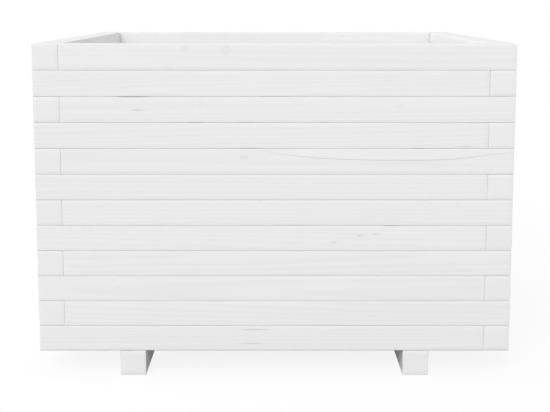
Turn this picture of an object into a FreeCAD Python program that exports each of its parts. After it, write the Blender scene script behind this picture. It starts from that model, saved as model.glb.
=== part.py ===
import FreeCAD, Part
import os
import re
import Sketcher

# Raised garden bed of stacked square battens, in millimetres.
# Origin on the ground at the middle of the bed, +Z up, front wall towards -Y, +X to the right.
# Every course is a pinwheel of four equal battens: each one runs through at one corner and butts
# against its neighbour at the other. The next course turns the other way, so the corners interlock
# like fingers, and one long screw up through each corner pulls the whole stack together.

SIZES = [
    ("outer_width", 700, "left to right over the walls"),
    ("outer_depth", 700, "front to back over the walls"),
    ("batten_thickness", 38, "wall thickness"),
    ("batten_height", 38, "height of one course"),
    ("course_count", 12, "courses in the stack"),
    ("arris_chamfer", 1.5, "eased long edges of battens and runners"),
    ("runner_width", 38, "width of one runner"),
    ("runner_height", 38, "ground to the bottom course"),
    ("runner_inset", 120, "outside of a side wall to the outside of its runner"),
    ("floor_board_count", 5, "boards in the floor"),
    ("floor_board_thickness", 18, "thickness of one board"),
    ("floor_board_chamfer", 1, "eased long edges of the boards"),
    ("floor_end_gap", 2, "end of a board to the side wall"),
    ("drain_gap", 8, "between boards, and from a board to the front or back wall"),
    ("corner_screw_diameter", 8, "long screws up through the corners"),
    ("corner_screw_flats", 13, "hexagon of the head, across its flats"),
    ("corner_screw_head", 8, "height of the head with its flange"),
    ("corner_screw_flange", 20, "diameter of the flange"),
    ("corner_screw_flange_thickness", 2, "thickness of the flange"),
    ("corner_screw_cover", 6, "tip of the screw to the rim of the bed"),
    ("runner_screw_diameter", 6, "screws from the runners up into the walls"),
    ("runner_screw_flats", 10, "hexagon of the head, across its flats"),
    ("runner_screw_head", 5, "height of the head"),
    ("runner_screw_cover", 9, "tip of the screw to the top of the bottom batten"),
    ("head_recess", 2, "head of a screw below the face of the wood"),
    ("head_clearance", 2, "head of a screw to the wall of its pocket"),
    ("shank_clearance", 0.5, "shank to the hole it passes through"),
    ("pilot_clearance", 0.05, "shank to the pilot hole it bites in"),
    ("pilot_end_room", 1, "pilot hole past the tip of the screw"),
]

# Sizes that follow from the ones above.
FRONT_LENGTH = "outer_width - batten_thickness"
SIDE_LENGTH = "outer_depth - batten_thickness"
CORNER_X = "(outer_width - batten_thickness) / 2"
CORNER_Y = "(outer_depth - batten_thickness) / 2"
RUNNER_X = "(outer_width / 2 - runner_inset - runner_width / 2)"
BOARD_LENGTH = "outer_width - 2 * (batten_thickness + floor_end_gap)"
INNER_DEPTH = "(outer_depth - 2 * batten_thickness)"
BOARD_WIDTH = f"(({INNER_DEPTH} - drain_gap * (floor_board_count + 1)) / floor_board_count)"
BOARD_PITCH = f"({BOARD_WIDTH} + drain_gap)"
CORNER_POCKET = "(corner_screw_head + head_recess)"
CORNER_BITE = "(batten_height - corner_screw_cover)"
CORNER_SCREW_LENGTH = f"batten_height * (course_count - 1) - {CORNER_POCKET} + {CORNER_BITE}"
RUNNER_POCKET = "(runner_screw_head + head_recess)"
RUNNER_BITE = "(batten_height - runner_screw_cover)"
RUNNER_SCREW_LENGTH = f"runner_height - {RUNNER_POCKET} + {RUNNER_BITE}"

doc = FreeCAD.newDocument("RaisedGardenBed")
sheet = doc.addObject("Spreadsheet::Sheet", "Sizes")
for row, (alias, value, note) in enumerate(SIZES, start=1):
    sheet.set(f"A{row}", note)
    sheet.set(f"B{row}", str(value))
    sheet.setAlias(f"B{row}", alias)
doc.recompute()

sub_parts = []


def formula(text):
    """A formula of size names as an expression on the sheet's cells."""
    return re.sub(r"[a-z][a-z_]+", lambda name: f"Sizes.{name.group()}", text)


def origin_feature(body, role):
    return next(feature for feature in body.Origin.OriginFeatures if feature.Role == role)


def new_body(label):
    body = doc.addObject("PartDesign::Body", label)
    body.Label = label
    sub_parts.append(body)
    return body


def place(body, x, y, z, turn=0):
    """Put a body at a place worked out from the sizes, turned about Z."""
    body.Placement.Rotation = FreeCAD.Rotation(FreeCAD.Vector(0, 0, 1), turn)
    for key, text in (("x", x), ("y", y), ("z", z)):
        body.setExpression(f"Placement.Base.{key}", formula(text))


def new_sketch(body, name, role):
    """A sketch on one of the body's own planes."""
    sketch = body.newObject("Sketcher::SketchObject", name)
    sketch.AttachmentSupport = [(origin_feature(body, role), "")]
    sketch.MapMode = "FlatFace"
    return sketch


def bind(sketch, text, *constraint):
    """Add a dimension to a sketch and tie it to the sizes."""
    index = sketch.addConstraint(Sketcher.Constraint(*constraint, 1.0))
    sketch.renameConstraint(index, f"size_{index}")
    sketch.setExpression(f"Constraints.size_{index}", formula(text))


def draw_outline(sketch, points):
    """Closed outline of straight lines, joined end to end."""
    count = len(points)
    for index, (x, y) in enumerate(points):
        next_x, next_y = points[(index + 1) % count]
        start = FreeCAD.Vector(x, y, 0)
        end = FreeCAD.Vector(next_x, next_y, 0)
        sketch.addGeometry(Part.LineSegment(start, end))
    for index in range(count):
        sketch.addConstraint(Sketcher.Constraint("Coincident", index, 2, (index + 1) % count, 1))


def draw_section(sketch, width, height):
    """Rectangle that stands on the horizontal axis, centred on the vertical one."""
    draw_outline(sketch, [(-10, 0), (10, 0), (10, 20), (-10, 20)])
    for line in (0, 2):
        sketch.addConstraint(Sketcher.Constraint("Horizontal", line))
    for line in (1, 3):
        sketch.addConstraint(Sketcher.Constraint("Vertical", line))
    sketch.addConstraint(Sketcher.Constraint("Symmetric", 0, 1, 0, 2, -1, 1))
    bind(sketch, width, "DistanceX", 0, 1, 0, 2)
    bind(sketch, height, "DistanceY", 1, 1, 1, 2)


def draw_hexagon(sketch, flats):
    """Regular hexagon round the origin, two of its sides along the horizontal axis."""
    draw_outline(sketch, [(7, 0), (4, 6), (-4, 6), (-7, 0), (-4, -6), (4, -6)])
    around = sketch.addGeometry(Part.Circle(FreeCAD.Vector(), FreeCAD.Vector(0, 0, 1), 7), True)
    sketch.addConstraint(Sketcher.Constraint("Coincident", around, 3, -1, 1))
    for side in range(6):
        sketch.addConstraint(Sketcher.Constraint("PointOnObject", side, 1, around))
    for side in range(1, 6):
        sketch.addConstraint(Sketcher.Constraint("Equal", 0, side))
    sketch.addConstraint(Sketcher.Constraint("Horizontal", 1))
    bind(sketch, flats, "DistanceY", 4, 2, 1, 1)


def draw_circle(sketch, diameter, x=None):
    """Circle at the origin, or on the horizontal axis at a distance from it."""
    centre = FreeCAD.Vector(20 if x else 0, 0, 0)
    circle = sketch.addGeometry(Part.Circle(centre, FreeCAD.Vector(0, 0, 1), 5))
    bind(sketch, diameter, "Diameter", circle)
    if x:
        sketch.addConstraint(Sketcher.Constraint("PointOnObject", circle, 3, -1))
        bind(sketch, x, "DistanceX", -1, 1, circle, 3)
    else:
        sketch.addConstraint(Sketcher.Constraint("Coincident", circle, 3, -1, 1))


def extrude(body, name, sketch, length, downwards=False):
    pad = body.newObject("PartDesign::Pad", name)
    pad.Profile = sketch
    pad.Reversed = downwards
    pad.setExpression("Length", formula(length))
    return pad


def make_bar(label, width, height, length, chamfer):
    """Planed timber along X from the origin, with its four long edges eased."""
    body = new_body(label)
    section = new_sketch(body, "Section", "YZ_Plane")
    draw_section(section, width, height)
    pad = extrude(body, "Timber", section, length)
    doc.recompute()
    long_edges = []
    for number, edge in enumerate(pad.Shape.Edges, start=1):
        if abs(edge.tangentAt(edge.FirstParameter).x) > 0.99:
            long_edges.append(f"Edge{number}")
    arris = body.newObject("PartDesign::Chamfer", "Arris")
    arris.Base = (pad, long_edges)
    arris.setExpression("Size", formula(chamfer))
    return body


def drill(body, name, diameter, places, depth=None):
    """Round holes up into a bar from its underside, right through where no depth is given."""
    layout = new_sketch(body, f"{name}Layout", "XY_Plane")
    for x in places:
        draw_circle(layout, diameter, x)
    hole = body.newObject("PartDesign::Pocket", name)
    hole.Profile = layout
    hole.Reversed = True
    if depth:
        hole.setExpression("Length", formula(depth))
    else:
        hole.Type = "ThroughAll"


def drill_for_head(body, name, screw, head_width, depth, places):
    """Holes right through a bar for the shanks of screws, with pockets below for their heads."""
    layout = new_sketch(body, f"{name}Layout", "XY_Plane")
    bore = f"{screw}_diameter + 2 * shank_clearance"
    for x in places:
        draw_circle(layout, bore, x)
    doc.recompute()
    hole = body.newObject("PartDesign::Hole", name)
    hole.Profile = layout
    hole.Reversed = True
    hole.DepthType = "ThroughAll"
    hole.HoleCutType = "Counterbore"
    hole.setExpression("Diameter", formula(bore))
    hole.setExpression("HoleCutDiameter", formula(f"{head_width} + 2 * head_clearance"))
    hole.setExpression("HoleCutDepth", formula(depth))


def make_batten(wall, course):
    """One batten of a wall, drilled for the corner screw at the end that runs through."""
    length = FRONT_LENGTH if wall in ("front", "back") else SIDE_LENGTH
    body = make_bar(f"{wall}_batten_{course:02d}", "batten_thickness", "batten_height", length, "arris_chamfer")
    corner = ["batten_thickness / 2"]
    if course == 1:
        drill_for_head(body, "CornerHole", "corner_screw", "corner_screw_flange", CORNER_POCKET, corner)
    elif course < course_count:
        drill(body, "CornerHole", "corner_screw_diameter + 2 * shank_clearance", corner)
    else:
        pilot = "corner_screw_diameter + 2 * pilot_clearance"
        drill(body, "CornerPilot", pilot, corner, f"{CORNER_BITE} + pilot_end_room")
    if course == 1 and wall in ("front", "back"):
        crossings = ["runner_inset + runner_width / 2", "outer_width - runner_inset - runner_width / 2"]
        pilot = "runner_screw_diameter + 2 * pilot_clearance"
        drill(body, "RunnerPilots", pilot, crossings, f"{RUNNER_BITE} + pilot_end_room")
    x, y, turn = THROUGH_ENDS[wall, course % 2]
    place(body, x, y, f"runner_height + batten_height * {course - 1}", turn)


def make_runner(label, side):
    """Runner from front to back under the walls, screwed up into them at both ends."""
    body = make_bar(label, "runner_width", "runner_height", "outer_depth", "arris_chamfer")
    crossings = ["batten_thickness / 2", "outer_depth - batten_thickness / 2"]
    head_width = f"runner_screw_flats / {HEXAGON_RATIO}"
    drill_for_head(body, "WallHoles", "runner_screw", head_width, RUNNER_POCKET, crossings)
    place(body, f"{side} * {RUNNER_X}", "-outer_depth / 2", "0", 90)


def make_floor_board(number):
    """Board across the runners, between the side walls, counted from the front."""
    body = make_bar(f"floor_board_{number}", BOARD_WIDTH, "floor_board_thickness", BOARD_LENGTH,
                    "floor_board_chamfer")
    board_y = f"{BOARD_PITCH} * ({number} - (floor_board_count + 1) / 2)"
    place(body, f"-({BOARD_LENGTH}) / 2", board_y, "runner_height")


def make_hexagon_screws(label, screw, length, step_x, step_y, flanged=False):
    """Four hexagon-head wood screws that point up, each with the seat of its head at the origin."""
    body = new_body(label)
    hexagon = new_sketch(body, "Hexagon", "XY_Plane")
    draw_hexagon(hexagon, f"{screw}_flats")
    extrude(body, "Head", hexagon, f"{screw}_head", downwards=True)
    if flanged:
        rim = new_sketch(body, "Rim", "XY_Plane")
        draw_circle(rim, f"{screw}_flange")
        extrude(body, "Flange", rim, f"{screw}_flange_thickness", downwards=True)
    section = new_sketch(body, "Section", "XY_Plane")
    draw_circle(section, f"{screw}_diameter")
    shank = extrude(body, "Shank", section, length)
    doc.recompute()
    corners = body.newObject("PartDesign::LinearPattern", "Corners")
    corners.TransformMode = "Whole shape"
    corners.Originals = [shank]
    corners.Direction = (origin_feature(body, "X_Axis"), [""])
    corners.Direction2 = (origin_feature(body, "Y_Axis"), [""])
    corners.Occurrences = 2
    corners.Occurrences2 = 2
    corners.setExpression("Length", formula(step_x))
    corners.setExpression("Length2", formula(step_y))
    body.Tip = corners
    return body


def check_model():
    """Stop if a feature failed, a cut removed nothing or a sub-part isn't sound."""
    for item in doc.Objects:
        if "Invalid" in item.State or "Error" in item.State:
            raise RuntimeError(f"{item.Label} failed: {item.State}")
        if item.TypeId in ("PartDesign::Pocket", "PartDesign::Hole"):
            if item.Shape.Volume >= item.BaseFeature.Shape.Volume:
                raise RuntimeError(f"{item.Label} cuts nothing")
    for body in sub_parts:
        if body.Shape.isNull() or not body.Shape.isValid():
            raise RuntimeError(f"{body.Label} has no sound shape")


# A regular hexagon's width across its flats over its width across its corners.
HEXAGON_RATIO = 0.8660254

# Where the end of a batten that runs through stands, and the batten's turn about Z.
ODD = 1
EVEN = 0
THROUGH_ENDS = {
    ("front", ODD): ("-outer_width / 2", f"-{CORNER_Y}", 0),
    ("right", ODD): (CORNER_X, "-outer_depth / 2", 90),
    ("back", ODD): ("outer_width / 2", CORNER_Y, 180),
    ("left", ODD): (f"-{CORNER_X}", "outer_depth / 2", -90),
    ("front", EVEN): ("outer_width / 2", f"-{CORNER_Y}", 180),
    ("right", EVEN): (CORNER_X, "outer_depth / 2", -90),
    ("back", EVEN): ("-outer_width / 2", CORNER_Y, 0),
    ("left", EVEN): (f"-{CORNER_X}", "-outer_depth / 2", 90),
}

course_count = int(sheet.course_count)
floor_board_count = int(sheet.floor_board_count)

for course in range(1, course_count + 1):
    for wall in ("front", "right", "back", "left"):
        make_batten(wall, course)

make_runner("left_runner", "-1")
make_runner("right_runner", "1")

for number in range(1, floor_board_count + 1):
    make_floor_board(number)

corner_screws = make_hexagon_screws("corner_screws", "corner_screw", CORNER_SCREW_LENGTH, FRONT_LENGTH,
                                    SIDE_LENGTH, flanged=True)
place(corner_screws, f"-{CORNER_X}", f"-{CORNER_Y}", f"runner_height + {CORNER_POCKET}")

runner_screws = make_hexagon_screws("runner_screws", "runner_screw", RUNNER_SCREW_LENGTH, f"2 * {RUNNER_X}",
                                    SIDE_LENGTH)
place(runner_screws, f"-{RUNNER_X}", f"-{CORNER_Y}", RUNNER_POCKET)

doc.recompute()
check_model()

os.makedirs("parts", exist_ok=True)
for body in sub_parts:
    body.Shape.exportStep(f"parts/{body.Label}.step")
print(f"{len(sub_parts)} sub-parts written")
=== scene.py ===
import math
import random

import bmesh
import bpy
import mathutils
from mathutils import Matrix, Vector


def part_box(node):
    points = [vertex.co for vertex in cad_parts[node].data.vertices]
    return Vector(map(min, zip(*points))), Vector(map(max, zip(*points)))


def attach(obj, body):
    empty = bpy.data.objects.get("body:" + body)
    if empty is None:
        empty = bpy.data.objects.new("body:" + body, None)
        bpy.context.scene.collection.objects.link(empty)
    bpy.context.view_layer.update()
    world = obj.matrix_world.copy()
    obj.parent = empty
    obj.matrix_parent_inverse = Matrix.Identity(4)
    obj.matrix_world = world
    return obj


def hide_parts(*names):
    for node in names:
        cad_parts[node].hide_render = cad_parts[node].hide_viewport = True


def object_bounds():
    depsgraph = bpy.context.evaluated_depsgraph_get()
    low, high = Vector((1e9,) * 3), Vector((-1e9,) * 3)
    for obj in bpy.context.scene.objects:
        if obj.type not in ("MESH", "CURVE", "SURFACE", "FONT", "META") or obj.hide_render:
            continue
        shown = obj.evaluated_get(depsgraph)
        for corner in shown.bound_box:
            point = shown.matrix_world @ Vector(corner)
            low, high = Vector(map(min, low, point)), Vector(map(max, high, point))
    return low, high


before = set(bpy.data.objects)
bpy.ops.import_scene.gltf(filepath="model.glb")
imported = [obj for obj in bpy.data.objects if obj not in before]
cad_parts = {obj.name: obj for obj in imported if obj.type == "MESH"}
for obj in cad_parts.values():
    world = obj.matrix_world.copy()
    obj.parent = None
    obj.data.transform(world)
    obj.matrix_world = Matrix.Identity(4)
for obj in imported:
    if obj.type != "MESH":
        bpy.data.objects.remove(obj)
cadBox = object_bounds()
print("frame loaded,", len(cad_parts), "CAD nodes")


# node helpers

def feed(tree, socket, value):  # links what another node puts out, or sets a plain value
    if isinstance(value, bpy.types.NodeSocket):
        tree.links.new(value, socket)
    else:
        socket.default_value = value


def calc(tree, operation, *values):
    node = tree.nodes.new("ShaderNodeMath")
    node.operation = operation
    for socket, value in zip(node.inputs, values):
        feed(tree, socket, value)
    return node.outputs[0]


def calcVector(tree, operation, *values):
    node = tree.nodes.new("ShaderNodeVectorMath")
    node.operation = operation
    for socket, value in zip(node.inputs, values):
        feed(tree, socket, value)
    return node.outputs["Value" if operation == "LENGTH" else "Vector"]


def diagonal(tree, first, second):  # of two lengths at a right angle
    squares = [calc(tree, "MULTIPLY", side, side) for side in (first, second)]
    return calc(tree, "SQRT", calc(tree, "ADD", *squares))


def fade(tree, value, start, end):  # 0 at start, 1 at end, eased
    node = tree.nodes.new("ShaderNodeMapRange")
    node.interpolation_type = "SMOOTHSTEP"
    tree.links.new(value, node.inputs["Value"])
    node.inputs["From Min"].default_value = start
    node.inputs["From Max"].default_value = end
    return node.outputs["Result"]


def cloud(tree, place, scale, detail=2.0, rough=0.5):
    node = tree.nodes.new("ShaderNodeTexNoise")
    node.inputs["Scale"].default_value = scale
    node.inputs["Detail"].default_value = detail
    node.inputs["Roughness"].default_value = rough
    tree.links.new(place, node.inputs["Vector"])
    return node.outputs["Fac"]


def shade(tree, colour, light):  # one colour, lighter and darker over the surface
    node = tree.nodes.new("ShaderNodeVectorMath")
    node.operation = "SCALE"
    node.inputs[0].default_value = colour
    tree.links.new(light, node.inputs["Scale"])
    return node.outputs["Vector"]


def relief(tree, height):  # a normal from heights in metres
    node = tree.nodes.new("ShaderNodeBump")
    node.inputs["Distance"].default_value = 1.0
    tree.links.new(height, node.inputs["Height"])
    return node.outputs["Normal"]


def attribute(tree, name):
    node = tree.nodes.new("ShaderNodeAttribute")
    node.attribute_name = name
    return node.outputs


def mixShaders(tree, share, first, second):
    node = tree.nodes.new("ShaderNodeMixShader")
    tree.links.new(share, node.inputs["Fac"])
    tree.links.new(first, node.inputs[1])
    tree.links.new(second, node.inputs[2])
    return node.outputs[0]


def newGroup(name, takes, gives):
    group = bpy.data.node_groups.new(name, "ShaderNodeTree")
    for label, value in takes.items():
        kind = "NodeSocketVector" if isinstance(value, tuple) else "NodeSocketFloat"
        socket = group.interface.new_socket(label, in_out="INPUT", socket_type=kind)
        socket.default_value = value
    for label in gives:
        group.interface.new_socket(label, in_out="OUTPUT", socket_type="NodeSocketFloat")
    return group, group.nodes.new("NodeGroupInput").outputs, group.nodes.new("NodeGroupOutput").inputs


def useGroup(tree, group, **values):
    node = tree.nodes.new("ShaderNodeGroup")
    node.node_tree = group
    for label, value in values.items():
        feed(tree, node.inputs[label], value)
    return node.outputs


# stage: floor, white surround, lamps and camera

studio = {
    "white": (1.0, 1.0, 1.0, 1.0),
    "floorSide": 16.0,
    "floorSeen": (0.98, 0.98, 0.98, 1.0),
    "floorBounce": (0.36, 0.36, 0.36, 1.0),  # what it throws back on the bed
    "floorGlow": 0.87,  # share of plain white that the camera sees, the rest keeps the shadow
    "horizonLight": 1.33,  # white light from all round, weaker overhead
    "overheadLight": 0.20,
    "lampDistance": 4.0,  # only for its mark: a sun lights the same from anywhere
    "lamps": (  # name, energy, where it comes from, softness in degrees
        ("key_lamp", 1.56, (-0.30, -0.75, 0.59), 36.0),
        ("side_lamp", 1.22, (-0.75, 0.60, 0.27), 60.0),
        ("fill_lamp", 0.22, (0.85, -0.20, 0.48), 60.0),
    ),
}

view = {
    "place": (0.001, -1.993, 0.551),
    "lookDown": 7.92,  # degrees
    "lens": 74.39,
    "sensor": 36.0,
    "riseShift": -0.08,  # share of the picture's width
}


def seenDirectly(tree):  # 1 for the camera and for what mirrors and glass show
    rays = tree.nodes.new("ShaderNodeLightPath").outputs
    seen = calc(tree, "MAXIMUM", rays["Is Camera Ray"], rays["Is Glossy Ray"])
    return calc(tree, "MAXIMUM", seen, rays["Is Transmission Ray"])


def layStudioFloor():
    bpy.ops.object.select_all(action="DESELECT")
    bpy.ops.mesh.primitive_plane_add(size=studio["floorSide"])
    floor = bpy.context.object
    floor.name = "studio_floor"
    paper = bpy.data.materials.new("paleFloor")
    paper.use_nodes = True
    tree = paper.node_tree
    tree.nodes.clear()
    seen = seenDirectly(tree)
    tint = tree.nodes.new("ShaderNodeMix")
    tint.data_type = "RGBA"
    tint.inputs["A"].default_value = studio["floorBounce"]
    tint.inputs["B"].default_value = studio["floorSeen"]
    tree.links.new(seen, tint.inputs["Factor"])
    matt = tree.nodes.new("ShaderNodeBsdfDiffuse")
    tree.links.new(tint.outputs["Result"], matt.inputs["Color"])
    glow = tree.nodes.new("ShaderNodeEmission")
    share = calc(tree, "MULTIPLY", seen, studio["floorGlow"])
    surface = tree.nodes.new("ShaderNodeOutputMaterial")
    tree.links.new(mixShaders(tree, share, matt.outputs[0], glow.outputs[0]), surface.inputs["Surface"])
    floor.data.materials.append(paper)


def hangSurround():
    surround = bpy.data.worlds.new("whiteSurround")
    surround.use_nodes = True
    bpy.context.scene.world = surround
    tree = surround.node_tree
    tree.nodes.clear()
    direction = tree.nodes.new("ShaderNodeTexCoord")
    parts = tree.nodes.new("ShaderNodeSeparateXYZ")
    tree.links.new(direction.outputs["Generated"], parts.inputs[0])
    climb = tree.nodes.new("ShaderNodeMapRange")
    climb.inputs["To Min"].default_value = studio["horizonLight"]
    climb.inputs["To Max"].default_value = studio["overheadLight"]
    tree.links.new(parts.outputs["Z"], climb.inputs["Value"])
    lighting = tree.nodes.new("ShaderNodeBackground")
    lighting.inputs["Color"].default_value = studio["white"]
    tree.links.new(climb.outputs["Result"], lighting.inputs["Strength"])
    shown = tree.nodes.new("ShaderNodeBackground")
    shown.inputs["Color"].default_value = studio["white"]
    mixed = mixShaders(tree, seenDirectly(tree), lighting.outputs[0], shown.outputs[0])
    tree.links.new(mixed, tree.nodes.new("ShaderNodeOutputWorld").inputs["Surface"])


def addLamp(name, energy, comesFrom, softness):
    direction = mathutils.Vector(comesFrom)
    bpy.ops.object.light_add(type="SUN", location=direction * studio["lampDistance"])
    lamp = bpy.context.object
    lamp.name = name
    lamp.rotation_euler = direction.to_track_quat("Z", "Y").to_euler()
    lamp.data.energy = energy
    lamp.data.angle = math.radians(softness)


def placeCamera():
    bpy.ops.object.camera_add(location=view["place"])
    camera = bpy.context.object
    camera.name = "photo_camera"
    camera.rotation_euler = (math.radians(90 - view["lookDown"]), 0, 0)
    camera.data.lens = view["lens"]
    camera.data.sensor_width = view["sensor"]
    camera.data.shift_y = view["riseShift"]
    bpy.context.scene.camera = camera


bpy.context.scene.view_settings.view_transform = "Standard"
layStudioFloor()
hangSurround()
for lamp in studio["lamps"]:
    addLamp(*lamp)
placeCamera()
print("stage set")


# pine: year rings, fibre and knots, in metres from the pith of the log

pine = {
    "cellsAlong": 3.4,  # places for one branch each, to the metre of log and to the radian
    "cellsRound": 1.3,
    "cellScatter": 0.85,
    "branchLeast": 0.05,  # radius of a branch as a share of its distance from the pith
    "branchSpread": 0.1,  # what luck adds to it
    "knotFade": (1.15, 0.8),  # edges of a knot and of the swelling round it, in branch radii
    "swellFade": (3.2, 0.6),
    "swellPush": -1.3,  # how far a branch moves the rings, in branch radii
    "knotRipple": 5200.0,  # rings in a knot, in radians to the metre
    "wander": (2.2, 16.0, 16.0),  # waves in the rings to the metre, along the log and across
    "wanderDepth": 0.006,
    "lateStart": (0.3, 0.86),  # shares of a year: the late wood comes slowly and ends sharply
    "lateEnd": (0.99, 0.92),
    "fibre": (7.0, 700.0, 700.0),  # fibres to the metre, along the log and across
    "fibreDetail": 3.0,
    "fibreRough": 0.6,
}


def makePineFigure():
    takes = {"logPlace": (0.0, 0.0, 0.0), "ringWidth": 0.0035, "knotShare": 0.5}
    group, given, result = newGroup("pineFigure", takes, ("lateWood", "fibre", "knot", "knotRing"))
    split = group.nodes.new("ShaderNodeSeparateXYZ")
    group.links.new(given["logPlace"], split.inputs[0])
    lengthwise, outward, sideways = split.outputs
    radius = diagonal(group, outward, sideways)
    angle = calc(group, "ARCTAN2", sideways, outward)

    # branches run out from the pith: room for one in each cell of length and angle
    cellPlace = group.nodes.new("ShaderNodeCombineXYZ")
    group.links.new(calc(group, "MULTIPLY", lengthwise, pine["cellsAlong"]), cellPlace.inputs[0])
    group.links.new(calc(group, "MULTIPLY", angle, pine["cellsRound"]), cellPlace.inputs[1])
    cells = group.nodes.new("ShaderNodeTexVoronoi")
    cells.voronoi_dimensions = "2D"
    cells.inputs["Scale"].default_value = 1.0
    cells.inputs["Randomness"].default_value = pine["cellScatter"]
    group.links.new(cellPlace.outputs[0], cells.inputs["Vector"])
    middle = group.nodes.new("ShaderNodeSeparateXYZ")
    group.links.new(cells.outputs["Position"], middle.inputs[0])
    luck = group.nodes.new("ShaderNodeSeparateColor")
    group.links.new(cells.outputs["Color"], luck.inputs[0])
    branchAlong = calc(group, "DIVIDE", middle.outputs[0], pine["cellsAlong"])
    branchAngle = calc(group, "DIVIDE", middle.outputs[1], pine["cellsRound"])
    offAlong = calc(group, "SUBTRACT", lengthwise, branchAlong)
    offAngle = calc(group, "SUBTRACT", angle, branchAngle)
    reach = diagonal(group, offAlong, calc(group, "MULTIPLY", offAngle, radius))
    grown = calc(group, "LESS_THAN", luck.outputs[0], given["knotShare"])
    taper = calc(group, "MULTIPLY_ADD", luck.outputs[1], pine["branchSpread"], pine["branchLeast"])
    branch = calc(group, "MULTIPLY", radius, taper)
    ratio = calc(group, "DIVIDE", reach, branch)
    knot = calc(group, "MULTIPLY", fade(group, ratio, *pine["knotFade"]), grown)
    swell = calc(group, "MULTIPLY", fade(group, ratio, *pine["swellFade"]), grown)

    # rings bend round a branch and wander along the log
    stretched = calcVector(group, "MULTIPLY", given["logPlace"], pine["wander"])
    depth = pine["wanderDepth"]
    wander = calc(group, "MULTIPLY_ADD", cloud(group, stretched, 1.0), depth, -depth / 2)
    bent = calc(group, "MULTIPLY", calc(group, "MULTIPLY", swell, branch), pine["swellPush"])
    ringPlace = calc(group, "ADD", radius, calc(group, "ADD", wander, bent))
    year = calc(group, "FRACT", calc(group, "DIVIDE", ringPlace, given["ringWidth"]))
    late = calc(group, "MULTIPLY", fade(group, year, *pine["lateStart"]), fade(group, year, *pine["lateEnd"]))
    fine = calcVector(group, "MULTIPLY", given["logPlace"], pine["fibre"])
    fibre = cloud(group, fine, 1.0, pine["fibreDetail"], pine["fibreRough"])
    ripple = calc(group, "SINE", calc(group, "MULTIPLY", reach, pine["knotRipple"]))
    knotRing = calc(group, "MULTIPLY", knot, calc(group, "MULTIPLY_ADD", ripple, 0.5, 0.5))
    group.links.new(late, result["lateWood"])
    group.links.new(fibre, result["fibre"])
    group.links.new(knot, result["knot"])
    group.links.new(knotRing, result["knotRing"])
    return group


# a thick white coat: slow drift of tone, roller peel and a few dull spots

coating = {
    "tone": 9.0,  # patches of each pattern to the metre
    "peel": 620.0,
    "dull": 38.0,
    "peelRough": 0.45,
    "dullDetail": 3.0,
    "dullFade": (0.5, 0.72),
}


def makePaintCoat():
    group, given, result = newGroup("paintCoat", {"place": (0.0, 0.0, 0.0)}, ("tone", "peel", "dull"))
    tone = cloud(group, given["place"], coating["tone"])
    peel = cloud(group, given["place"], coating["peel"], rough=coating["peelRough"])
    dull = cloud(group, given["place"], coating["dull"], coating["dullDetail"])
    group.links.new(tone, result["tone"])
    group.links.new(peel, result["peel"])
    group.links.new(fade(group, dull, *coating["dullFade"]), result["dull"])
    return group


# one knot at a known place that shows through the paint

knotMark = {
    "waves": 240.0,  # in its outline, to the metre
    "uneven": 0.7,
    "bodyFade": (1.0, 0.5),  # edges in half widths of the knot
    "rimStart": (0.45, 0.75),
    "rimEnd": (1.1, 0.8),
}


def makeKnotSpot():
    takes = {"place": (0.0, 0.0, 0.0), "middle": (0.0, 0.0, 0.0), "across": (0.006, 0.02, 0.005)}
    group, given, result = newGroup("knotSpot", takes, ("spot", "rim"))
    away = calcVector(group, "SUBTRACT", given["place"], given["middle"])
    reach = calcVector(group, "LENGTH", calcVector(group, "DIVIDE", away, given["across"]))
    wavy = cloud(group, given["place"], knotMark["waves"])
    uneven = calc(group, "MULTIPLY_ADD", wavy, knotMark["uneven"], -knotMark["uneven"] / 2)
    ratio = calc(group, "ADD", reach, uneven)
    rimStart = fade(group, ratio, *knotMark["rimStart"])
    rimEnd = fade(group, ratio, *knotMark["rimEnd"])
    group.links.new(fade(group, ratio, *knotMark["bodyFade"]), result["spot"])
    group.links.new(calc(group, "MULTIPLY", rimStart, rimEnd), result["rim"])
    return group


pineFigure = makePineFigure()
paintCoat = makePaintCoat()
knotSpot = makeKnotSpot()


# finishes

whitePaint = {
    "colour": (0.815, 0.815, 0.814),
    "ringWidth": 0.0036,
    "knotShare": 0.13,  # how many of the places for a branch have one
    "lateWood": 0.022,  # how much darker each trace shows through the paint
    "fibre": 0.02,
    "knot": 0.03,
    "knotRing": 0.012,
    "spot": 0.04,
    "rim": 0.035,
    "cutEnd": -0.004,
    "jointDustAndShade": 0.9,  # dust and painted shade deep in a joint, and the share of it that lies evenly
    "evenDustAndShade": 0.7,
    "tone": 0.03,  # how far the tone differs along a bar and from bar to bar
    "drift": 3.0,  # patches of it to the metre of log
    "driftDetail": 1.0,
    "roughness": 0.62,
    "dullRough": 0.12,  # how much is added on dull spots and on fibre
    "fibreRough": 0.08,
    "shine": 0.25,
    "ridge": 0.00005,  # heights in metres
    "fibreRidge": 0.00003,
    "peel": 0.000012,
    "spotSink": 0.00016,
    "spotDepth": 0.006,  # how far into the wood a knot goes
    "spots": (  # middle x, height, half width, half height of the knots on the front
        (-0.1287, 0.4878, 0.0050, 0.0038),
        (-0.0697, 0.4850, 0.0075, 0.0075),
        (-0.0440, 0.3290, 0.0070, 0.0038),
    ),
}

floorPaint = {**whitePaint, "ringWidth": 0.0048, "knotShare": 0.7, "lateWood": 0.06, "spots": ()}


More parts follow.
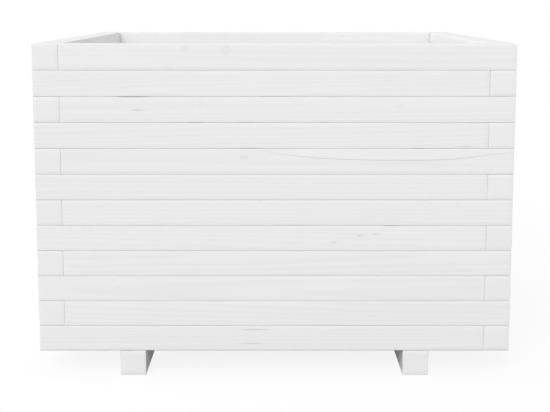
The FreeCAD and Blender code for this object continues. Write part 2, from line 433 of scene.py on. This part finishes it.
def makeWhitePaint(name, look):
    paint = bpy.data.materials.new(name)
    paint.use_nodes = True
    tree = paint.node_tree
    shader = tree.nodes["Principled BSDF"]
    place = tree.nodes.new("ShaderNodeTexCoord").outputs["Object"]
    logPlace = attribute(tree, "grain")["Vector"]
    figure = useGroup(tree, pineFigure, logPlace=logPlace,
                      ringWidth=look["ringWidth"], knotShare=look["knotShare"])
    coat = useGroup(tree, paintCoat, place=place)
    drift = cloud(tree, logPlace, look["drift"], look["driftDetail"])
    marks = []
    for x, height, halfWidth, halfHeight in look["spots"]:
        middle = (x, cadBox[0].y, height)
        across = (halfWidth, look["spotDepth"], halfHeight)
        marks.append(useGroup(tree, knotSpot, place=place, middle=middle, across=across))

    # painted shade with dust: the joint mask darkens the creases between battens and the bottom edge, patchy
    # with the dull spots
    patchyDustAndShade = calc(tree, "MULTIPLY_ADD", coat["dull"], 1 - look["evenDustAndShade"], look["evenDustAndShade"])
    dustAndShade = calc(tree, "MULTIPLY", attribute(tree, "jointDustAndShade")["Fac"], patchyDustAndShade)
    traces = [(figure[label], look[label]) for label in ("lateWood", "fibre", "knot", "knotRing")]
    traces += [(attribute(tree, "cutEnd")["Fac"], look["cutEnd"]), (dustAndShade, look["jointDustAndShade"])]
    for mark in marks:
        traces += [(mark["spot"], look["spot"]), (mark["rim"], look["rim"])]
    plain = 1 - look["tone"] * 3 / 4 + look["fibre"] / 2  # so that the clouds leave the average as it is
    light = calc(tree, "MULTIPLY_ADD", drift, look["tone"], plain)
    light = calc(tree, "MULTIPLY_ADD", coat["tone"], look["tone"] / 2, light)
    for trace, strength in traces:
        light = calc(tree, "MULTIPLY_ADD", trace, -strength, light)
    tree.links.new(shade(tree, look["colour"], light), shader.inputs["Base Color"])

    shader.inputs["Specular IOR Level"].default_value = look["shine"]
    rough = calc(tree, "MULTIPLY_ADD", coat["dull"], look["dullRough"], look["roughness"])
    rough = calc(tree, "MULTIPLY_ADD", figure["fibre"], look["fibreRough"], rough)
    tree.links.new(rough, shader.inputs["Roughness"])

    height = calc(tree, "MULTIPLY", figure["lateWood"], look["ridge"])
    height = calc(tree, "MULTIPLY_ADD", figure["fibre"], look["fibreRidge"], height)
    height = calc(tree, "MULTIPLY_ADD", coat["peel"], look["peel"], height)
    height = calc(tree, "MULTIPLY_ADD", figure["knotRing"], look["ridge"], height)
    for mark in marks:
        height = calc(tree, "MULTIPLY_ADD", mark["spot"], -look["spotSink"], height)
    tree.links.new(relief(tree, height), shader.inputs["Normal"])
    return paint


zinc = {
    "colour": (0.6, 0.61, 0.62),
    "crystal": 260.0,  # crystals to the metre
    "spangle": 0.25,  # how far they differ in brightness and in roughness
    "spangleRough": 0.1,
    "bloom": 90.0,  # cloudy patches to the metre
    "bloomDetail": 4.0,
    "bloomGrain": 0.6,
    "bloomDark": 0.2,
    "bloomRough": 0.25,
    "roughness": 0.26,  # where it is smoothest
    "scuff": 0.00002,
    "scuffs": 1500.0,  # to the metre, long ones up and down
    "scuffDetail": 3.0,
    "scuffShape": (1.0, 1.0, 0.15),
}


def makeZinc():
    steel = bpy.data.materials.new("zincPlatedSteel")
    steel.use_nodes = True
    tree = steel.node_tree
    shader = tree.nodes["Principled BSDF"]
    shader.inputs["Metallic"].default_value = 1.0
    place = tree.nodes.new("ShaderNodeTexCoord").outputs["Object"]
    crystals = tree.nodes.new("ShaderNodeTexVoronoi")
    crystals.inputs["Scale"].default_value = zinc["crystal"]
    tree.links.new(place, crystals.inputs["Vector"])
    shades = tree.nodes.new("ShaderNodeSeparateColor")
    tree.links.new(crystals.outputs["Color"], shades.inputs[0])
    bloom = cloud(tree, place, zinc["bloom"], zinc["bloomDetail"], zinc["bloomGrain"])
    plain = 1 - zinc["spangle"] / 2 + zinc["bloomDark"] / 2
    light = calc(tree, "MULTIPLY_ADD", shades.outputs[0], zinc["spangle"], plain)
    light = calc(tree, "MULTIPLY_ADD", bloom, -zinc["bloomDark"], light)
    tree.links.new(shade(tree, zinc["colour"], light), shader.inputs["Base Color"])
    rough = calc(tree, "MULTIPLY_ADD", bloom, zinc["bloomRough"], zinc["roughness"])
    rough = calc(tree, "MULTIPLY_ADD", shades.outputs[1], zinc["spangleRough"], rough)
    tree.links.new(rough, shader.inputs["Roughness"])
    scuffPlace = calcVector(tree, "MULTIPLY", place, zinc["scuffShape"])
    scuffs = cloud(tree, scuffPlace, zinc["scuffs"], zinc["scuffDetail"])
    tree.links.new(relief(tree, calc(tree, "MULTIPLY", scuffs, zinc["scuff"])), shader.inputs["Normal"])
    return steel


paintedPine = makeWhitePaint("whitePaintedPine", whitePaint)
paintedFloor = makeWhitePaint("whitePaintedFloorBoard", floorPaint)
zincSteel = makeZinc()
print("finishes made")


# modelling helpers

tools = {
    "straight": 0.99,  # least share of an edge that runs along an axis
    "touching": 0.00001,  # how near a face a point counts as on it
    "sharp": 0.5,  # least turn of an edge that is eased, in radians
    "arrisSteps": 4,
    "endSteps": 2,
    "holeSides": 32,
    "overrun": 0.01,  # how far a drill comes out of the wood
    "smoothAngle": 32,  # degrees
}


def startFresh():  # object mode, nothing selected
    if bpy.context.object and bpy.context.object.mode != "OBJECT":
        bpy.ops.object.mode_set(mode="OBJECT")
    bpy.ops.object.select_all(action="DESELECT")


def pick(piece):
    startFresh()
    piece.select_set(True)
    bpy.context.view_layer.objects.active = piece


def selectEdges(piece, wanted):
    bpy.ops.mesh.select_mode(type="EDGE")
    bpy.ops.mesh.select_all(action="DESELECT")
    cage = bmesh.from_edit_mesh(piece.data)
    for edge in cage.edges:
        if wanted(edge):
            edge.select_set(True)
    bmesh.update_edit_mesh(piece.data)


def runsAlong(edge, axis):
    run = (edge.verts[1].co - edge.verts[0].co).normalized()
    return abs(run[axis]) > tools["straight"]


def onSkin(edge, axis, half):
    return all(abs(abs(vert.co[axis]) - half) < tools["touching"] for vert in edge.verts)


def planedBar(name, size, cuts, ease, endEase):  # lies along x, its middle at the origin
    startFresh()
    bpy.ops.mesh.primitive_cube_add(size=1, scale=size)
    bar = bpy.context.object
    bar.name = name
    bpy.ops.object.transform_apply(location=False, rotation=False, scale=True)
    half = [side / 2 for side in size]
    bpy.ops.object.mode_set(mode="EDIT")
    for axis in range(3):
        selectEdges(bar, lambda edge: runsAlong(edge, axis))
        bpy.ops.mesh.subdivide(number_cuts=cuts[axis])
    selectEdges(bar, lambda edge: runsAlong(edge, 0)
                and onSkin(edge, 1, half[1]) and onSkin(edge, 2, half[2]))
    bpy.ops.mesh.bevel(offset=ease, segments=tools["arrisSteps"], affect="EDGES")
    selectEdges(bar, lambda edge: onSkin(edge, 0, half[0]) and edge.calc_face_angle(0) > tools["sharp"])
    bpy.ops.mesh.bevel(offset=endEase, segments=tools["endSteps"], affect="EDGES")
    bpy.ops.object.mode_set(mode="OBJECT")
    return bar


def cutAway(piece, cutter):
    pick(piece)
    cut = piece.modifiers.new("cutAway", "BOOLEAN")
    cut.operation = "DIFFERENCE"
    cut.solver = "EXACT"
    cut.object = cutter
    bpy.ops.object.modifier_apply(modifier=cut.name)
    bpy.data.objects.remove(cutter)


def drill(piece, x, bottom, top, radius):
    startFresh()
    bpy.ops.mesh.primitive_cylinder_add(vertices=tools["holeSides"], radius=radius, depth=top - bottom,
                                        location=(x, 0, (top + bottom) / 2))
    cutAway(piece, bpy.context.object)


def copyOf(master, name):
    pick(master)
    bpy.ops.object.duplicate(linked=False)
    piece = bpy.context.object
    piece.name = name
    return piece


def lay(piece, middle, turn):
    pick(piece)
    piece.location = middle
    piece.rotation_euler = (0, 0, turn)
    bpy.ops.object.transform_apply(location=True, rotation=True, scale=False)


def giveFinish(piece, finish):
    pick(piece)
    bpy.ops.object.shade_smooth_by_angle(angle=math.radians(tools["smoothAngle"]))
    piece.data.materials.clear()
    piece.data.materials.append(finish)


# timber: every bar is planed, drilled, weathered a little and painted

timber = {
    "cutsAlong": 131,  # loops that let a bar be uneven
    "cutsAcross": 5,
    "arris": 0.0009,
    "endArris": 0.0008,
    "bow": (0.22, 0.00002),  # size of the waves and how far they pull the face in
    "handling": (0.035, 0.000015),
    "logShift": 20,  # how far along its log a bar may come from, either way
    "pithNear": 0.030,
    "pithFar": 0.085,
    "lean": 0.012,  # slope of the log's pith against the bar
    "flatSawn": 0.55,  # most that the rings turn away from lying flat in the broad face
    "growth": (0.75, 1.35),  # least and most: times as many rings to the metre as ringWidth gives
    "endZone": 0.003,  # how near the end a sawn face lies, and how squarely it faces along the bar
    "squareOn": 0.7,
    "dustAndShadeRise": 1.5,  # power of the dip that the dust and painted shade follow, in a wall and on the rim
    "rimRise": 0.8,
    "uprightDustAndShade": 0.3,  # share of the dust and painted shade in an upright joint; an arris that faces down has none
    "bottomShadeAndDust": 0.75,  # painted shade and dust along the bottom edge of the walls
    "edgeZone": 1.5,  # width of an edge in arrises
    "flat": 0.99,  # parts of a face's normal: an open face, an upright one, one tilted along the bar
    "upright": 0.1,
    "tilted": 0.3,
    "seed": 41,
}

dice = random.Random(timber["seed"])


def wave(name, size):
    texture = bpy.data.textures.new(name, "CLOUDS")
    texture.noise_scale = size
    texture.noise_depth = 1
    return texture


bowWave = wave("bowWave", timber["bow"][0])
handlingWave = wave("handlingWave", timber["handling"][0])


def weather(piece):  # pulls the faces in by uneven hundredths of a millimetre
    pick(piece)
    for texture, depth in ((bowWave, timber["bow"][1]), (handlingWave, timber["handling"][1])):
        sink = piece.modifiers.new(texture.name, "DISPLACE")
        sink.texture = texture
        sink.texture_coords = "GLOBAL"
        sink.strength = depth
        sink.mid_level = 1.0
        bpy.ops.object.modifier_apply(modifier=sink.name)


def growGrain(piece, middle, axis):  # where each point lies in the log that the bar was sawn from
    shift = dice.uniform(-timber["logShift"], timber["logShift"])
    pith = dice.uniform(timber["pithNear"], timber["pithFar"])
    turn = dice.choice((0, math.pi)) + dice.uniform(-1, 1) * timber["flatSawn"]
    growth = dice.uniform(*timber["growth"])
    leanSide = dice.uniform(-1, 1) * timber["lean"]
    leanUp = dice.uniform(-1, 1) * timber["lean"]
    places = []
    for vert in piece.data.vertices:
        away = vert.co - middle
        side = away[1 - axis] - leanSide * away[axis]
        up = away.z - leanUp * away[axis]
        outward = side * math.cos(turn) + up * math.sin(turn) + pith
        sideways = up * math.cos(turn) - side * math.sin(turn)
        places += [away[axis] + shift, outward * growth, sideways * growth]
    grain = piece.data.attributes.new("grain", "FLOAT_VECTOR", "POINT")
    grain.data.foreach_set("vector", places)


def dustAndShadeOn(face, axis, wallThickness):  # dust and painted shade: 0 on the open faces of a batten, 1 deep in a joint
    spot, level = face.center, face.normal.z
    outer, rim = cadBox[1].x, cadBox[1].z
    inner = outer - wallThickness
    near = timber["arris"] * timber["edgeZone"]
    onCorner = min(abs(spot.x), abs(spot.y)) > outer - near
    if onCorner or max(abs(part) for part in face.normal) > timber["flat"]:
        return 0.0
    if spot.z > rim - near:  # on the rim, painted shade only where a butt end meets its neighbour
        atButt = abs(face.normal[axis]) > timber["tilted"] and abs(abs(spot[axis]) - inner) < near
        dip = min(1.0, (rim - spot.z) / timber["arris"])
        return dip ** timber["rimRise"] if atButt and level > timber["upright"] else 0.0
    # painted shade with some dust along the underside edge of the lowest course
    if spot.z < batten["lowest"] + near:
        return timber["bottomShadeAndDust"]
    if level <= -timber["upright"]:
        return 0.0
    across = max(abs(spot.x), abs(spot.y))
    dip = min(1.0, min(abs(outer - across), abs(across - inner)) / timber["arris"])
    share = 1.0 if level > timber["upright"] else timber["uprightDustAndShade"]
    return dip ** timber["dustAndShadeRise"] * share


def markFaces(piece, middle, size, axis, inWall):  # sawn ends, and joints where dust and painted shade lie
    reach = size[axis] / 2 - timber["endZone"]
    ends, jointDustAndShades = [], []
    for face in piece.data.polygons:
        atEnd = abs(face.center[axis] - middle[axis]) > reach
        ends.append(float(atEnd and abs(face.normal[axis]) > timber["squareOn"]))
        jointDustAndShades.append(dustAndShadeOn(face, axis, size.z) if inWall else 0.0)
    for label, values in (("cutEnd", ends), ("jointDustAndShade", jointDustAndShades)):
        mark = piece.data.attributes.new(label, "FLOAT", "FACE")
        mark.data.foreach_set("value", values)


def finishTimber(piece, node, finish):
    lo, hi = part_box(node)
    middle, size = (lo + hi) / 2, hi - lo
    axis = 0 if size.x > size.y else 1
    growGrain(piece, middle, axis)
    markFaces(piece, middle, size, axis, "batten" in node)
    giveFinish(piece, finish)
    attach(piece, "root")
    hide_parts(node)


# battens: one corner screw passes through the lapped end of each

batten = {
    "walls": ("front", "right", "back", "left"),
    "courses": 12,
    "lowest": 0.038,  # underside of the bottom course
    "lapNear": 0.0001,  # how near the corner a lapped end comes
    "screwHole": 0.0045,  # radii of the holes
    "pilot": 0.00405,
    "headPocket": 0.012,
    "pilotCover": 0.005,  # wood left above a pilot hole
    "headPocketDepth": 0.010,
}


def makeBattens():
    lo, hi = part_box("front_batten_01")
    size = hi - lo
    half = size.z / 2
    hole = -size.x / 2 + half  # the lapped end is at -x
    under, over = -half - tools["overrun"], half + tools["overrun"]
    cuts = (timber["cutsAlong"], timber["cutsAcross"], timber["cutsAcross"])
    plain = planedBar("battenMaster", size, cuts, timber["arris"], timber["endArris"])
    top = copyOf(plain, "topBattenMaster")
    drill(top, hole, under, half - batten["pilotCover"], batten["pilot"])
    drill(plain, hole, under, over, batten["screwHole"])
    bottom = copyOf(plain, "bottomBattenMaster")
    drill(bottom, hole, under, -half + batten["headPocketDepth"], batten["headPocket"])
    corner = cadBox[0].x + batten["lapNear"]
    made = {}
    for course in range(1, batten["courses"] + 1):
        master = bottom if course == 1 else top if course == batten["courses"] else plain
        for wall in batten["walls"]:
            node = f"{wall}_batten_{course:02d}"
            lo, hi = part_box(node)
            if hi.x - lo.x > hi.y - lo.y:
                turn = 0.0 if lo.x < corner else math.pi
            else:
                turn = math.pi / 2 if lo.y < corner else -math.pi / 2
            piece = copyOf(master, f"{node}_painted")
            lay(piece, (lo + hi) / 2, turn)
            weather(piece)
            made[node] = piece
    for master in (plain, top, bottom):
        bpy.data.objects.remove(master)
    return made


# drying splits: the batten, the width and the line of each, along the wall and up, in metres

splits = {
    "depth": 0.0011,
    "sharp": 0.03,  # how far the two ends narrow, and how bluntly
    "blunt": 0.5,
    "smooth": 8,
    "lines": (
        ("front_batten_08", 0.00050,
         ((-0.0225, 0.3416), (-0.0122, 0.3373), (0.0379, 0.3305), (0.0791, 0.3270), (0.1410, 0.3251),
          (0.2000, 0.3249), (0.2501, 0.3255), (0.2884, 0.3291), (0.3326, 0.3356), (0.3444, 0.3373))),
        ("front_batten_10", 0.00095,
         ((-0.2127, 0.3982), (-0.2030, 0.3985), (-0.1930, 0.3983), (-0.1847, 0.3984))),
        ("front_batten_09", 0.00060,
         ((0.2590, 0.3440), (0.2700, 0.3446), (0.2800, 0.3449), (0.2910, 0.3451))),
        ("front_batten_05", 0.00115,
         ((0.0780, 0.2024), (0.0850, 0.2020), (0.0890, 0.2028), (0.0954, 0.2040))),
        ("front_batten_05", 0.00080, ((0.1204, 0.2133), (0.1262, 0.2136), (0.1322, 0.2136))),
        ("front_batten_05", 0.00080, ((0.1440, 0.2147), (0.1490, 0.2149), (0.1543, 0.2146))),
        ("front_batten_01", 0.00065,
         ((-0.0550, 0.0700), (-0.0400, 0.0703), (-0.0200, 0.0702), (-0.0004, 0.0707))),
        ("front_batten_01", 0.00065,
         ((-0.0580, 0.0494), (-0.0450, 0.0490), (-0.0250, 0.0491), (-0.0060, 0.0502))),
        ("right_batten_09", 0.00055,
         ((-0.2400, 0.3602), (-0.1700, 0.3640), (-0.0800, 0.3660), (0.0100, 0.3668))),
        ("right_batten_04", 0.00065, ((0.1100, 0.1720), (0.1600, 0.1732), (0.2300, 0.1733))),
        ("right_batten_11", 0.00070, ((0.2000, 0.4350), (0.2300, 0.4342), (0.2550, 0.4345))),
        ("back_batten_07", 0.00055,
         ((-0.2500, 0.2800), (-0.1500, 0.2860), (-0.0500, 0.2884), (0.0600, 0.2880))),
        ("back_batten_03", 0.00070, ((0.0400, 0.1330), (0.0900, 0.1336), (0.1300, 0.1330))),
        ("back_batten_11", 0.00070, ((-0.1300, 0.4330), (-0.0900, 0.4338), (-0.0600, 0.4336))),
        ("left_batten_06", 0.00055,
         ((-0.2200, 0.2480), (-0.1200, 0.2440), (-0.0100, 0.2428), (0.0900, 0.2440))),
        ("left_batten_10", 0.00070, ((0.0700, 0.4010), (0.1300, 0.4022), (0.1900, 0.4020))),
    ),
}


def cutSplits(made):  # a wire of diamond section, pointed at both ends, is cut out of the face
    facing = {"front": 0.0, "right": math.pi / 2, "back": math.pi, "left": -math.pi / 2}
    reach = abs(cadBox[0].y)
    for node, width, line in splits["lines"]:
        turn = facing[node.split("_")[0]]
        startFresh()
        bpy.ops.curve.primitive_nurbs_path_add()
        crack = bpy.context.object
        crack.data.bevel_depth = width / 2
        crack.data.bevel_resolution = 0
        crack.data.use_fill_caps = True
        spline = crack.data.splines[0]
        spline.points.add(max(0, len(line) - len(spline.points)))
        steps = len(spline.points) - 1
        for step, point in enumerate(spline.points):  # the line's points, shared out over the spline's
            spot = step * (len(line) - 1) / steps
            first = min(int(spot), len(line) - 2)
            part = spot - first
            across = line[first][0] * (1 - part) + line[first + 1][0] * part
            up = line[first][1] * (1 - part) + line[first + 1][1] * part
            point.co = (across, up, 0, 1)
            point.radius = max(splits["sharp"], math.sin(math.pi * step / steps)) ** splits["blunt"]
        spline.order_u = 3
        spline.use_endpoint_u = True
        spline.resolution_u = splits["smooth"]
        crack.rotation_euler = (math.pi / 2, 0, turn)
        crack.location = (reach * math.sin(turn), -reach * math.cos(turn), 0)
        crack.scale = (1, 1, 2 * splits["depth"] / width)
        bpy.ops.object.convert(target="MESH")
        blade = bpy.context.object
        bpy.ops.object.transform_apply(location=True, rotation=True, scale=True)
        cutAway(made[node], blade)


# bruised arrises: batten, start and end along the front, upper or lower edge, how deep

bruises = {
    "falloff": 0.009,
    "reach": 0.0022,  # how near an edge a point has to be
    "places": (
        ("front_batten_10", -0.224, -0.185, 1, 0.00034),
        ("front_batten_10", -0.124, -0.106, -1, 0.0003),
        ("front_batten_10", -0.043, -0.027, -1, 0.0003),
        ("front_batten_10", 0.070, 0.080, -1, 0.0004),
        ("front_batten_09", -0.053, -0.024, -1, 0.00028),
        ("front_batten_09", 0.206, 0.217, -1, 0.00034),
        ("front_batten_09", 0.241, 0.249, -1, 0.00032),
        ("front_batten_05", 0.164, 0.176, 1, 0.00022),
        ("front_batten_03", -0.343, -0.329, -1, 0.0002),
        ("front_batten_06", 0.000, 0.060, -1, 0.0002),
    ),
}


def bruiseArrises(made):
    for node, start, end, side, depth in bruises["places"]:
        piece = made[node]
        lo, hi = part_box(node)
        edgeHeight = hi.z if side > 0 else lo.z
        pick(piece)
        bpy.ops.object.mode_set(mode="EDIT")
        bpy.ops.mesh.select_mode(type="VERT")
        bpy.ops.mesh.select_all(action="DESELECT")
        cage = bmesh.from_edit_mesh(piece.data)
        for vert in cage.verts:
            away = max(abs(vert.co.z - edgeHeight), abs(vert.co.y - lo.y))
            if away < bruises["reach"] and start <= vert.co.x <= end:
                vert.select_set(True)
        bmesh.update_edit_mesh(piece.data)
        bpy.ops.transform.translate(value=(0, depth, -side * depth), use_proportional_edit=True,
                                    proportional_edit_falloff="SMOOTH", proportional_size=bruises["falloff"],
                                    use_proportional_connected=True)
        bpy.ops.object.mode_set(mode="OBJECT")


battens = makeBattens()
bruiseArrises(battens)
cutSplits(battens)
for node, piece in battens.items():
    finishTimber(piece, node, paintedPine)
print("battens laid:", len(battens))


# runners: the two feet

runner = {
    "cutsAlong": 139,
    "screwInset": 0.019,  # from the end of the runner
    "screwHole": 0.0035,  # radii of the holes
    "headPocket": 0.00777,
    "headPocketDepth": 0.007,
}


def makeRunners():
    lo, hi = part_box("left_runner")
    size = hi - lo
    half = size.z / 2
    under, over = -half - tools["overrun"], half + tools["overrun"]
    cuts = (runner["cutsAlong"], timber["cutsAcross"], timber["cutsAcross"])
    master = planedBar("runnerMaster", (size.y, size.x, size.z), cuts, timber["arris"], timber["endArris"])
    for end in (-1, 1):
        x = end * (size.y / 2 - runner["screwInset"])
        drill(master, x, under, over, runner["screwHole"])
        drill(master, x, under, -half + runner["headPocketDepth"], runner["headPocket"])
    for node in ("left_runner", "right_runner"):
        lo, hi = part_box(node)
        piece = copyOf(master, f"{node}_painted")
        lay(piece, (lo + hi) / 2, math.pi / 2)
        weather(piece)
        finishTimber(piece, node, paintedPine)
    bpy.data.objects.remove(master)


makeRunners()
print("runners laid")


# floor boards with their countersunk screws

floorBoard = {
    "count": 5,
    "cutsAlong": 123,
    "cutsAcross": 15,
    "cutsThick": 2,
    "arris": 0.0012,
    "screwFromEdge": 0.022,
    "sinkWidth": 1.25,  # the countersink against the screw's head: width, depth and depth of its middle
    "sinkDepth": 1.4,
    "sinkMiddle": 0.6,
    "headSunk": 0.0004,  # how far a head lies below the face of its board
}

floorScrew = {
    "sides": 24,
    "headRadius": 0.0042,
    "headRim": 0.0006,
    "headDepth": 0.0034,
    "shankRadius": 0.002,
    "shankLength": 0.03,
    "tipLength": 0.005,
    "tipShare": 0.1,  # width of the point against the shank
    "facesDown": -0.9,  # a face points down if its normal goes lower than this
    "slotLength": 0.005,
    "slotWidth": 0.0011,
    "slotDepth": 0.0018,
}


def drawDown(length, share):  # extrudes what is selected downwards and narrows it
    bpy.ops.mesh.extrude_region_move(TRANSFORM_OT_translate={"value": (0, 0, -length)})
    bpy.ops.transform.resize(value=(share, share, 1))


def makeFloorScrew():  # head at the top, its face at the origin
    startFresh()
    headRim = floorScrew["headRim"]
    bpy.ops.mesh.primitive_cylinder_add(vertices=floorScrew["sides"], radius=floorScrew["headRadius"],
                                        depth=headRim, location=(0, 0, -headRim / 2))
    screw = bpy.context.object
    screw.name = "floorScrewMaster"
    bpy.ops.object.mode_set(mode="EDIT")
    bpy.ops.mesh.select_mode(type="FACE")
    bpy.ops.mesh.select_all(action="DESELECT")
    cage = bmesh.from_edit_mesh(screw.data)
    for face in cage.faces:
        face.select_set(face.normal.z < floorScrew["facesDown"])
    bmesh.update_edit_mesh(screw.data)
    drawDown(floorScrew["headDepth"], floorScrew["shankRadius"] / floorScrew["headRadius"])
    drawDown(floorScrew["shankLength"], 1)
    drawDown(floorScrew["tipLength"], floorScrew["tipShare"])
    bpy.ops.object.mode_set(mode="OBJECT")
    slot = (floorScrew["slotLength"], floorScrew["slotWidth"], floorScrew["slotDepth"] * 2)
    for turn in (0, math.pi / 2):
        startFresh()
        bpy.ops.mesh.primitive_cube_add(size=1, rotation=(0, 0, turn), scale=slot)
        cutAway(screw, bpy.context.object)
    return screw


def countersink(board, x, y, surface):
    startFresh()
    headDepth = floorScrew["headDepth"]
    bpy.ops.mesh.primitive_cone_add(vertices=tools["holeSides"], radius1=floorScrew["shankRadius"],
                                    radius2=floorScrew["headRadius"] * floorBoard["sinkWidth"],
                                    depth=headDepth * floorBoard["sinkDepth"],
                                    location=(x, y, surface - headDepth * floorBoard["sinkMiddle"]))
    cutAway(board, bpy.context.object)


def makeFloor():
    lo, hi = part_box("floor_board_1")
    size = hi - lo
    runnerLo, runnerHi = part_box("right_runner")
    overRunner = (runnerLo.x + runnerHi.x) / 2
    aside = size.y / 2 - floorBoard["screwFromEdge"]
    cuts = (floorBoard["cutsAlong"], floorBoard["cutsAcross"], floorBoard["cutsThick"])
    master = planedBar("floorBoardMaster", size, cuts, floorBoard["arris"], timber["endArris"])
    spots = [(x, y) for x in (-overRunner, overRunner) for y in (-aside, aside)]
    for x, y in spots:
        countersink(master, x, y, size.z / 2)
    screw = makeFloorScrew()
    screws = []
    for number in range(1, floorBoard["count"] + 1):
        node = f"floor_board_{number}"
        lo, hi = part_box(node)
        middle = (lo + hi) / 2
        piece = copyOf(master, f"{node}_painted")
        lay(piece, middle, 0)
        weather(piece)
        finishTimber(piece, node, paintedFloor)
        for x, y in spots:
            fixing = copyOf(screw, f"floor_screw_{len(screws) + 1:02d}")
            place = (middle.x + x, middle.y + y, hi.z - floorBoard["headSunk"])
            lay(fixing, place, dice.uniform(0, math.pi / 2))
            screws.append(fixing)
    startFresh()
    for fixing in screws:
        fixing.select_set(True)
    bpy.context.view_layer.objects.active = screws[0]
    bpy.ops.object.join()
    joined = bpy.context.object
    joined.name = "floor_screws"
    giveFinish(joined, zincSteel)
    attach(joined, "root")
    bpy.data.objects.remove(master)
    bpy.data.objects.remove(screw)


makeFloor()
print("floor laid")


# the CAD's own screws take the zinc finish

for node in ("corner_screws", "runner_screws"):
    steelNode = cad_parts[node]
    steelNode.data.materials.clear()
    steelNode.data.materials.append(zincSteel)

startFresh()
